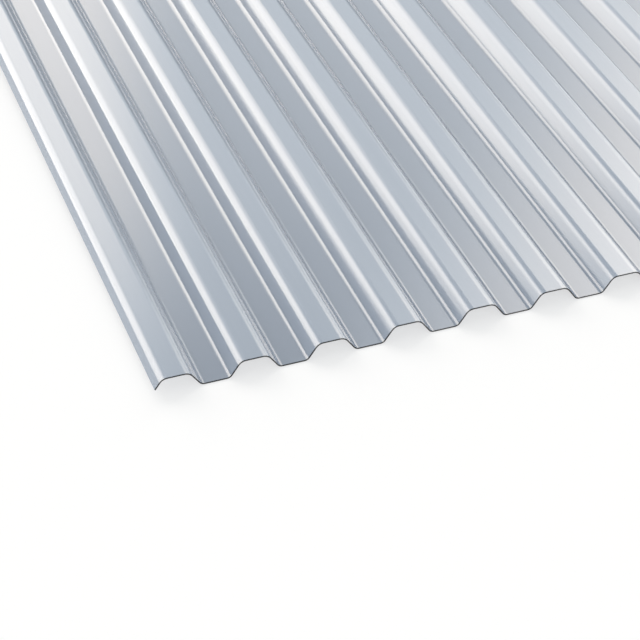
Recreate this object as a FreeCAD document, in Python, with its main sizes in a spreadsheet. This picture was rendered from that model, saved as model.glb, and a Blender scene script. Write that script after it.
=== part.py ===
"""Trapezoidal PVC roofing sheet: one thin sheet with straight ribs along its length.

Frame: X across the ribs, Y along them, Z up. The origin is the middle of the underside, so
the valleys rest on Z = 0. The sheet is mirror-symmetric about the planes X = 0 and Y = 0.
Both long edges end part of the way down the web outside the last crown, so that neighbouring
sheets lap crown over crown. Lengths are in millimetres, and angles in degrees.
"""

import math
import os

import FreeCAD
import Part
import Sketcher

# Widths and radii are those of the sheet's middle surface, and a flat's width is taken between
# the sharp corners where it would meet its webs.
SIZES = {
    "pitch": 76.0,  # from one crown to the next
    "depth": 16.0,  # from valley to crown, on the same face
    "thickness": 1.2,
    "crown_width": 26.0,
    "web_angle": 55.0,  # from level
    "crown_radius": 9.0,
    "valley_radius": 6.0,
    "crown_count": 15,
    "edge_drop": 10.8,  # from the last crown's top down to the top corner of the cut edge
    "sheet_length": 2000.0,
}

ORIGIN, VERTICAL_AXIS = -1, -2  # Sketcher's numbers for its own origin and axis
START, END, CENTRE = 1, 2, 3  # Sketcher's numbers for the points of a curve


def sizes_sheet(doc):
    """The spreadsheet of driving sizes, one row each: the name, and the aliased value."""
    sheet = doc.addObject("Spreadsheet::Sheet", "Sizes")
    for row, (name, value) in enumerate(SIZES.items(), start=1):
        sheet.set(f"A{row}", name)
        sheet.set(f"B{row}", str(value))
        sheet.setAlias(f"B{row}", name)
    doc.recompute()
    return sheet


def origin_plane(body, role):
    return next(f for f in body.Origin.OriginFeatures if f.Role == role)


def section_sketch(body, name, x_expression):
    """An empty sketch on the plane across the ribs, with its own origin at the given X."""
    sketch = body.newObject("Sketcher::SketchObject", name)
    sketch.AttachmentSupport = (origin_plane(body, "XZ_Plane"), [""])
    sketch.MapMode = "FlatFace"
    sketch.setExpression("AttachmentOffset.Base.x", x_expression)
    return sketch


def dimension(sketch, name, expression, *constraint):
    """Adds a dimension to the sketch and drives it with an expression on the sizes."""
    index = sketch.addConstraint(Sketcher.Constraint(*constraint))
    sketch.renameConstraint(index, name)
    sketch.setExpression(f"Constraints.{name}", expression)


def bent_line(sketch, corners, radii):
    """Draws lines from corner to corner with a tangent arc in each bend.

    Returns the numbers of the lines and of the arcs, each in order along the bent line.
    """
    ends = [corners[0]]
    arcs = []
    for before, corner, after, radius in zip(corners, corners[1:], corners[2:], radii):
        to_before = (before - corner).normalize()
        to_after = (after - corner).normalize()
        half_angle = to_before.getAngle(to_after) / 2
        reach = radius / math.tan(half_angle)
        tangent_points = [corner + to_before * reach, corner + to_after * reach]
        inward = (to_before + to_after).normalize()
        centre = corner + inward * (radius / math.sin(half_angle))
        turns_left = to_before.cross(to_after).z < 0
        first, last = tangent_points if turns_left else reversed(tangent_points)
        angles = [math.atan2(p.y - centre.y, p.x - centre.x) for p in (first, last)]
        circle = Part.Circle(centre, FreeCAD.Vector(0, 0, 1), radius)
        arcs.append((Part.ArcOfCircle(circle, *angles), turns_left))
        ends += tangent_points
    ends.append(corners[-1])

    lines = [
        sketch.addGeometry(Part.LineSegment(first, last), False)
        for first, last in zip(ends[::2], ends[1::2])
    ]
    arc_numbers = []
    for (arc, turns_left), line_in, line_out in zip(arcs, lines, lines[1:]):
        number = sketch.addGeometry(arc, False)
        arc_in, arc_out = (START, END) if turns_left else (END, START)
        sketch.addConstraint(Sketcher.Constraint("Tangent", line_in, END, number, arc_in))
        sketch.addConstraint(Sketcher.Constraint("Tangent", number, arc_out, line_out, START))
        arc_numbers.append(number)
    return lines, arc_numbers


def close_between(sketch, lower, upper, point):
    """Joins two lines' ends, both their starts or both their ends, with a straight line."""
    ends = [sketch.getPoint(lower, point), sketch.getPoint(upper, point)]
    closing = sketch.addGeometry(Part.LineSegment(*ends), False)
    sketch.addConstraint(Sketcher.Constraint("Coincident", lower, point, closing, START))
    sketch.addConstraint(Sketcher.Constraint("Coincident", upper, point, closing, END))
    return closing


def dimension_crown_bend(sketch, sizes, under_arc, under_crown):
    """Sizes the bend beside a crown, and the half of the crown's flat next to it."""
    turn = math.radians(sizes["web_angle"])
    dimension(
        sketch, "crown_bend", "Sizes.crown_radius - Sizes.thickness / 2",
        "Radius", under_arc, sizes["crown_radius"] - sizes["thickness"] / 2,
    )
    dimension(
        sketch, "half_crown_flat",
        "Sizes.crown_width / 2 - Sizes.crown_radius * tan(Sizes.web_angle * 1 deg / 2)",
        "DistanceX", under_arc, CENTRE, under_crown, END,
        sizes["crown_width"] / 2 - sizes["crown_radius"] * math.tan(turn / 2),
    )


def half_trough_section(sketch, sizes):
    """Draws the sheet's section from the middle of a valley to the middle of the next crown."""
    turn = math.radians(sizes["web_angle"])
    web_run = sizes["depth"] / math.tan(turn)
    half_thickness = sizes["thickness"] / 2
    crown_x = (sizes["pitch"] - sizes["crown_width"]) / 2
    faces = []
    for side in (-1, 1):  # the underside, then the top
        offset = side * half_thickness
        level = half_thickness + offset
        shift = -offset * math.tan(turn / 2)
        corners = [
            FreeCAD.Vector(0, level),
            FreeCAD.Vector(crown_x - web_run + shift, level),
            FreeCAD.Vector(crown_x + shift, level + sizes["depth"]),
            FreeCAD.Vector(sizes["pitch"] / 2, level + sizes["depth"]),
        ]
        radii = [sizes["valley_radius"] - offset, sizes["crown_radius"] + offset]
        faces.append(bent_line(sketch, corners, radii))
    (under, under_arcs), (top, top_arcs) = faces
    under_valley, under_web, under_crown = under
    top_valley, _, top_crown = top

    for line in (under_valley, under_crown, top_valley, top_crown):
        sketch.addConstraint(Sketcher.Constraint("Horizontal", line))
    for lower, upper, point in ((under_valley, top_valley, START), (under_crown, top_crown, END)):
        closing = close_between(sketch, lower, upper, point)
        sketch.addConstraint(Sketcher.Constraint("Vertical", closing))
    for lower, upper in zip(under_arcs, top_arcs):
        sketch.addConstraint(Sketcher.Constraint("Coincident", lower, CENTRE, upper, CENTRE))
    sketch.addConstraint(Sketcher.Constraint("Coincident", under_valley, START, ORIGIN, START))

    valley_arc, crown_arc = under_arcs
    dimension(
        sketch, "half_pitch", "Sizes.pitch / 2",
        "DistanceX", ORIGIN, START, under_crown, END, sizes["pitch"] / 2,
    )
    dimension(
        sketch, "profile_depth", "Sizes.depth",
        "DistanceY", ORIGIN, START, under_crown, END, sizes["depth"],
    )
    dimension(
        sketch, "valley_thickness", "Sizes.thickness",
        "DistanceY", under_valley, START, top_valley, START, sizes["thickness"],
    )
    dimension(
        sketch, "crown_thickness", "Sizes.thickness",
        "DistanceY", under_crown, END, top_crown, END, sizes["thickness"],
    )
    dimension(
        sketch, "valley_bend", "Sizes.valley_radius + Sizes.thickness / 2",
        "Radius", valley_arc, sizes["valley_radius"] + half_thickness,
    )
    dimension_crown_bend(sketch, sizes, crown_arc, under_crown)
    dimension(
        sketch, "web_slope", "Sizes.web_angle * 1 deg",
        "Angle", under_web, turn,
    )


def edge_section(sketch, sizes):
    """Draws the section from the sheet's cut edge up to the middle of its first crown."""
    turn = math.radians(sizes["web_angle"])
    half_thickness = sizes["thickness"] / 2
    web_reach = sizes["edge_drop"] / math.sin(turn)
    up_web = FreeCAD.Vector(math.cos(turn), math.sin(turn))
    through_web = FreeCAD.Vector(math.sin(turn), -math.cos(turn))
    top_level = sizes["depth"] + sizes["thickness"]
    narrowing = half_thickness * math.tan(turn / 2)
    top_corner = FreeCAD.Vector(-sizes["crown_width"] / 2 - narrowing, top_level)
    top_end = top_corner - up_web * web_reach
    under_corner = FreeCAD.Vector(-sizes["crown_width"] / 2 + narrowing, sizes["depth"])
    under_end = top_end + through_web * sizes["thickness"]
    (top_web, top_crown), (top_arc,) = bent_line(
        sketch,
        [top_end, top_corner, FreeCAD.Vector(0, top_level)],
        [sizes["crown_radius"] + half_thickness],
    )
    (under_web, under_crown), (under_arc,) = bent_line(
        sketch,
        [under_end, under_corner, FreeCAD.Vector(0, sizes["depth"])],
        [sizes["crown_radius"] - half_thickness],
    )

    for line in (top_crown, under_crown):
        sketch.addConstraint(Sketcher.Constraint("Horizontal", line))
    sketch.addConstraint(Sketcher.Constraint("Parallel", top_web, under_web))
    sketch.addConstraint(Sketcher.Constraint("Coincident", under_arc, CENTRE, top_arc, CENTRE))
    middle = close_between(sketch, under_crown, top_crown, END)
    sketch.addConstraint(Sketcher.Constraint("Vertical", middle))
    cut_edge = close_between(sketch, under_web, top_web, START)
    sketch.addConstraint(Sketcher.Constraint("Perpendicular", cut_edge, top_web))
    sketch.addConstraint(Sketcher.Constraint("PointOnObject", under_crown, END, VERTICAL_AXIS))

    dimension(
        sketch, "profile_depth", "Sizes.depth",
        "DistanceY", ORIGIN, START, under_crown, END, sizes["depth"],
    )
    dimension(
        sketch, "crown_thickness", "Sizes.thickness",
        "DistanceY", under_crown, END, top_crown, END, sizes["thickness"],
    )
    dimension_crown_bend(sketch, sizes, under_arc, under_crown)
    dimension(
        sketch, "web_slope", "Sizes.web_angle * 1 deg",
        "Angle", top_web, turn,
    )
    dimension(
        sketch, "edge_drop", "Sizes.edge_drop",
        "DistanceY", top_web, START, top_crown, END, sizes["edge_drop"],
    )


def pad(body, name, sketch):
    """Extrudes a section to the sheet's full length, half to each side of its plane."""
    feature = body.newObject("PartDesign::Pad", name)
    feature.Profile = (sketch, [""])
    feature.SideType = "Symmetric"
    feature.setExpression("Length", "Sizes.sheet_length")
    return feature


def build_sheet(doc, sizes):
    """The whole sheet: half troughs mirrored and repeated, and the two cut edges."""
    body = doc.addObject("PartDesign::Body", "sheet")
    body.Label = "sheet"
    body.Placement = FreeCAD.Placement()

    trough_sketch = section_sketch(
        body, "HalfTroughSection", "-(Sizes.crown_count - 2) / 2 * Sizes.pitch"
    )
    half_trough_section(trough_sketch, sizes)
    half_trough = pad(body, "HalfTrough", trough_sketch)

    troughs = body.newObject("PartDesign::MultiTransform", "Troughs")
    troughs.Originals = [half_trough]
    whole_trough = body.newObject("PartDesign::Mirrored", "WholeTrough")
    whole_trough.MirrorPlane = (trough_sketch, ["V_Axis"])
    row = body.newObject("PartDesign::LinearPattern", "TroughRow")
    row.Direction = (trough_sketch, ["H_Axis"])
    row.Mode = "Spacing"
    row.setExpression("Offset", "Sizes.pitch")
    row.setExpression("Occurrences", "Sizes.crown_count - 1")
    troughs.Transformations = [whole_trough, row]
    body.Tip = troughs

    edge_sketch = section_sketch(
        body, "EdgeSection", "-(Sizes.crown_count - 1) / 2 * Sizes.pitch"
    )
    edge_section(edge_sketch, sizes)
    edge = pad(body, "Edge", edge_sketch)

    edges = body.newObject("PartDesign::Mirrored", "Edges")
    edges.Originals = [edge]
    edges.MirrorPlane = (origin_plane(body, "YZ_Plane"), [""])
    body.Tip = edges
    return body


def check(doc):
    """Stops the build where any object failed to compute."""
    # The steps of a multiple transformation carry no shape of their own.
    steps = {step.Name for obj in doc.Objects for step in getattr(obj, "Transformations", [])}
    for obj in doc.Objects:
        if {"Invalid", "Error"} & set(obj.State):
            raise RuntimeError(f"{obj.Name}: {obj.getStatusString()}")
        if obj.isDerivedFrom("Part::Feature") and obj.Name not in steps:
            if obj.Shape.isNull() or not obj.Shape.isValid():
                raise RuntimeError(f"{obj.Name}: shape is not valid")
        if obj.isDerivedFrom("Sketcher::SketchObject") and not obj.FullyConstrained:
            raise RuntimeError(f"{obj.Name}: sketch is not fully constrained")


doc = FreeCAD.newDocument("trapezoidal_pvc_sheet")
sizes_sheet(doc)
sheet = build_sheet(doc, SIZES)
doc.recompute()
check(doc)

os.makedirs("parts", exist_ok=True)
sheet.Shape.exportStep(f"parts/{sheet.Label}.step")
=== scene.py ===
"""Looks and light for the trapezoidal PVC sheet: its material, a pale floor, a soft studio
and the camera. Metres, in the sheet's own frame: X across the ribs, Y along them, Z up."""

import math

import bpy
from mathutils import Euler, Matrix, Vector


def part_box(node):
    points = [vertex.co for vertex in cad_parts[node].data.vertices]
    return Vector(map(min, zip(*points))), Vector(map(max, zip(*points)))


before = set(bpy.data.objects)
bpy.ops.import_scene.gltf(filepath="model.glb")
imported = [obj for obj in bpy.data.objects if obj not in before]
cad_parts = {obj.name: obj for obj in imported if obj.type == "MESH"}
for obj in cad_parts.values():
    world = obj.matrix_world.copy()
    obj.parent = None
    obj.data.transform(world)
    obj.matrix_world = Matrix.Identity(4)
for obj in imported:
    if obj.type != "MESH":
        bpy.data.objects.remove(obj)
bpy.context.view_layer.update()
scene = bpy.context.scene
scene.view_settings.view_transform = "Standard"

low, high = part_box("sheet")

# Colours of the sheet, linear.
DEEP_BODY = (0.297, 0.346, 0.424, 1)
PALE_BODY = (0.307, 0.356, 0.434, 1)
# Painted shade for the troughs, where they rest on the floor.
TROUGH_PAINTED_SHADE = (0.248, 0.290, 0.362, 1)
# Painted shade for the sawn ends, standing in for light trapped inside the sheet.
SAWN_END_PAINTED_SHADE = (0.008, 0.011, 0.014, 1)

# Grain of the sheet: lumps per metre across the ribs, along them and upwards.
STREAKS_PER_METRE = (160.0, 1.5, 160.0)
WANDER_PER_METRE = (12.0, 2.5, 12.0)

# The trough's painted shade is full up to the first height above the floor and gone at the second.
TROUGH_SHADE_FULL = 0.001
TROUGH_SHADE_GONE = 0.005

# The painted shade of a sawn end begins this far before the end, and is full this far before it.
SAWN_SHADE_BEGINS = 0.0009
SAWN_SHADE_FULL = 0.0001

COAT = 0.65  # how much of the clear gloss coat the sheet has, away from its sawn ends

FLOOR_SIZE = 40.0
FLOOR_GAP = 0.0002  # keeps the floor's face off the sheet's underside
FLOOR_WHITENESS = 0.65  # share of plain white in what the camera and reflections see of the floor

LENS = 121.8
SENSOR = 36.0
CAMERA_FROM_CORNER = Vector((-0.3735, -1.4965, 1.2590))  # from the low corner of the sheet's box
LOOK_DOWN = 37.39  # degrees below level
LOOK_RIGHT = 19.66  # degrees to the right of +Y
CAMERA_ROLL = -0.35  # degrees


class Nodes:
    """Short calls for building a node tree. Each one returns an output of its new node."""

    def __init__(self, tree):
        self.tree = tree
        tree.nodes.clear()

    def add(self, kind, inputs=None, output=0, **settings):
        """A new node. Each input is a socket to link from or a plain value."""
        node = self.tree.nodes.new(kind)
        for key, value in settings.items():
            setattr(node, key, value)
        for key, value in (inputs or {}).items():
            if isinstance(value, bpy.types.NodeSocket):
                self.tree.links.new(value, node.inputs[key])
            else:
                node.inputs[key].default_value = value
        return node.outputs[output] if node.outputs else None

    def split(self, vector):
        """The x, y and z of a vector."""
        node = self.tree.nodes.new("ShaderNodeSeparateXYZ")
        self.tree.links.new(vector, node.inputs[0])
        return node.outputs

    def maths(self, operation, a, b=0.0):
        return self.add("ShaderNodeMath", {0: a, 1: b}, operation=operation)

    def product(self, first, *others):
        for other in others:
            first = self.maths("MULTIPLY", first, other)
        return first

    def smooth(self, value, start, end, low=0.0, high=1.0):
        """low before start, high after end, and a smooth step between them."""
        return self.add(
            "ShaderNodeMapRange",
            {"Value": value, "From Min": start, "From Max": end, "To Min": low, "To Max": high},
            interpolation_type="SMOOTHSTEP",
        )

    def window(self, value, start, full, fade, end):
        """Rises from 0 at start to 1 at full, then falls from 1 at fade to 0 at end."""
        return self.product(self.smooth(value, start, full), self.smooth(value, fade, end, 1.0, 0.0))

    def noise(self, place, per_metre):
        """Soft lumps, with as many to the metre along each axis as per_metre says."""
        stretched = self.add("ShaderNodeMapping", {"Vector": place, "Scale": per_metre})
        return self.add("ShaderNodeTexNoise", {"Vector": stretched, "Scale": 1.0, "Detail": 2.0})

    def mix_colour(self, factor, a, b):
        node = self.tree.nodes.new("ShaderNodeMix")
        node.data_type = "RGBA"
        sockets = {s.identifier: s for s in node.inputs}
        for key, value in (("Factor_Float", factor), ("A_Color", a), ("B_Color", b)):
            if isinstance(value, bpy.types.NodeSocket):
                self.tree.links.new(value, sockets[key])
            else:
                sockets[key].default_value = value
        return {s.identifier: s for s in node.outputs}["Result_Color"]


# ---------------------------------------------------------------- PVC
def pvc_material():
    """Glossy bluish-grey PVC with faint streaks, painted shade in the troughs and on the sawn ends.
    """
    material = bpy.data.materials.new("pvc")
    material.use_nodes = True
    n = Nodes(material.node_tree)
    place = n.add("ShaderNodeTexCoord", output="Object")
    _, along, height = n.split(place)

    # Extrusion leaves faint streaks along Y and a slow wander in tone.
    streaks = n.noise(place, STREAKS_PER_METRE)
    wander = n.noise(place, WANDER_PER_METRE)
    tone = n.maths("ADD", n.product(streaks, 0.5), n.product(wander, 0.5))
    body = n.mix_colour(n.smooth(tone, 0.3, 0.7), DEEP_BODY, PALE_BODY)

    # Painted shade: the troughs are darkened, because no light comes up through them from below.
    clear_of_painted_shade = n.smooth(height, low.z + TROUGH_SHADE_FULL, low.z + TROUGH_SHADE_GONE)
    body = n.mix_colour(clear_of_painted_shade, TROUGH_PAINTED_SHADE, body)

    # Painted shade: the sawn ends are darkened, because light is trapped inside the sheet until it
    # meets them.
    from_middle = n.maths("ABSOLUTE", along)
    painted_shade_sawn_end = n.smooth(from_middle, high.y - SAWN_SHADE_BEGINS, high.y - SAWN_SHADE_FULL)

    surface = n.add(
        "ShaderNodeBsdfPrincipled",
        {
            "Base Color": n.mix_colour(painted_shade_sawn_end, body, SAWN_END_PAINTED_SHADE),
            "Roughness": n.smooth(wander, 0.3, 0.7, 0.10, 0.13),
            "IOR": 1.53,
            "Coat Weight": n.smooth(painted_shade_sawn_end, 0.0, 1.0, COAT, 0.0),
            "Coat Roughness": 0.08,
        },
    )
    n.add("ShaderNodeOutputMaterial", {"Surface": surface})
    return material


pvc = pvc_material()
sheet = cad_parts["sheet"]
for slot in sheet.material_slots:
    slot.material = pvc


# ---------------------------------------------------------------- floor
def floor_material():
    """A pale floor that takes the shadow, and looks close to white in view and in reflections."""
    material = bpy.data.materials.new("floor")
    material.use_nodes = True
    n = Nodes(material.node_tree)
    lit = n.add("ShaderNodeBsdfDiffuse", {"Color": (0.94, 0.95, 0.96, 1)})
    white = n.add("ShaderNodeEmission", {"Color": (1, 1, 1, 1), "Strength": 1.0})
    rays = n.tree.nodes.new("ShaderNodeLightPath").outputs
    seen = rays["Is Camera Ray"]
    for kind in ("Is Glossy Ray", "Is Transmission Ray"):
        seen = n.maths("MAXIMUM", seen, rays[kind])
    share = n.product(seen, FLOOR_WHITENESS)
    surface = n.add("ShaderNodeMixShader", {0: share, 1: lit, 2: white})
    n.add("ShaderNodeOutputMaterial", {"Surface": surface})
    return material


bpy.ops.mesh.primitive_plane_add(size=FLOOR_SIZE, location=(0, 0, low.z - FLOOR_GAP))
floor = bpy.context.object
floor.name = "floor"
floor.data.materials.append(floor_material())


# ---------------------------------------------------------------- studio
def studio_world():
    """A plain room with soft panels of light around the sheet, placed by direction in degrees.

    Azimuth is 0 along +Y and grows towards +X. Elevation is 0 when level and grows upwards.
    A panel is its level of light times its windows."""
    world = bpy.data.worlds.new("studio")
    world.use_nodes = True
    n = Nodes(world.node_tree)
    x, y, z = n.split(n.add("ShaderNodeTexCoord", output="Generated"))  # the direction looked in
    degrees = 180 / math.pi
    azimuth = n.product(n.maths("ARCTAN2", x, y), degrees)
    elevation = n.product(n.maths("ARCSINE", z), degrees)
    slant = n.maths("ADD", n.product(azimuth, 0.806), n.product(elevation, 0.591))
    around = n.maths("ABSOLUTE", azimuth)

    # The room itself is a little brighter overhead.
    strength = n.smooth(elevation, 10, 70, 0.30, 0.55)

    # The main panel stands beyond the sheet, mostly to its left, and dims towards its right.
    main = n.product(
        4.8,
        n.window(azimuth, -52, -35, 12, 16),
        n.smooth(azimuth, -12, 12, 1.0, 0.42),
        n.window(elevation, -5, 8, 34, 44),
    )
    # A faint one fills the gap between the main panel and the right one.
    fill = n.product(1.2, n.window(azimuth, 2, 8, 46, 61), n.window(elevation, 14, 27, 32, 43))
    # A low one, on the right, lights the right-hand bends of the crowns.
    low_right = n.product(1.9, n.window(azimuth, 34, 40, 50, 62), n.window(elevation, -8, 0, 10, 18))
    # The right panel has a leaning left edge.
    right = n.product(
        3.9,
        n.smooth(slant, 37, 49),
        n.smooth(azimuth, 46, 61, 1.0, 0.0),
        n.window(elevation, -10, 4, 42, 58),
    )
    # One on the left side lights the webs that face it.
    side = n.product(3.0, n.window(azimuth, -120, -105, -75, -60), n.window(elevation, 6, 14, 26, 36))
    # One behind the camera gives the sheet some gloss when it is seen from its far end.
    behind = n.product(1.5, n.smooth(around, 135, 155), n.window(elevation, 18, 28, 42, 52))

    for light in (main, fill, low_right, right, side, behind):
        strength = n.maths("ADD", strength, light)

    # The panels are a little warmer than the room.
    tint = n.mix_colour(n.smooth(strength, 1.2, 3.5), (0.95, 0.99, 1.0, 1), (1.0, 0.94, 0.87, 1))
    shade = n.add("ShaderNodeBackground", {"Color": tint, "Strength": strength})
    n.add("ShaderNodeOutputWorld", {"Surface": shade})
    return world


scene.world = studio_world()

# ---------------------------------------------------------------- camera
camera_data = bpy.data.cameras.new("camera")
camera_data.sensor_width = SENSOR
camera_data.lens = LENS
camera = bpy.data.objects.new("camera", camera_data)
scene.collection.objects.link(camera)
camera.location = Vector((low.x, low.y, low.z)) + CAMERA_FROM_CORNER
turn = Euler((math.radians(90 - LOOK_DOWN), 0, math.radians(-LOOK_RIGHT)), "XYZ").to_matrix()
roll = Euler((0, 0, math.radians(CAMERA_ROLL)), "XYZ").to_matrix()
camera.rotation_euler = (turn @ roll).to_euler()
scene.camera = camera
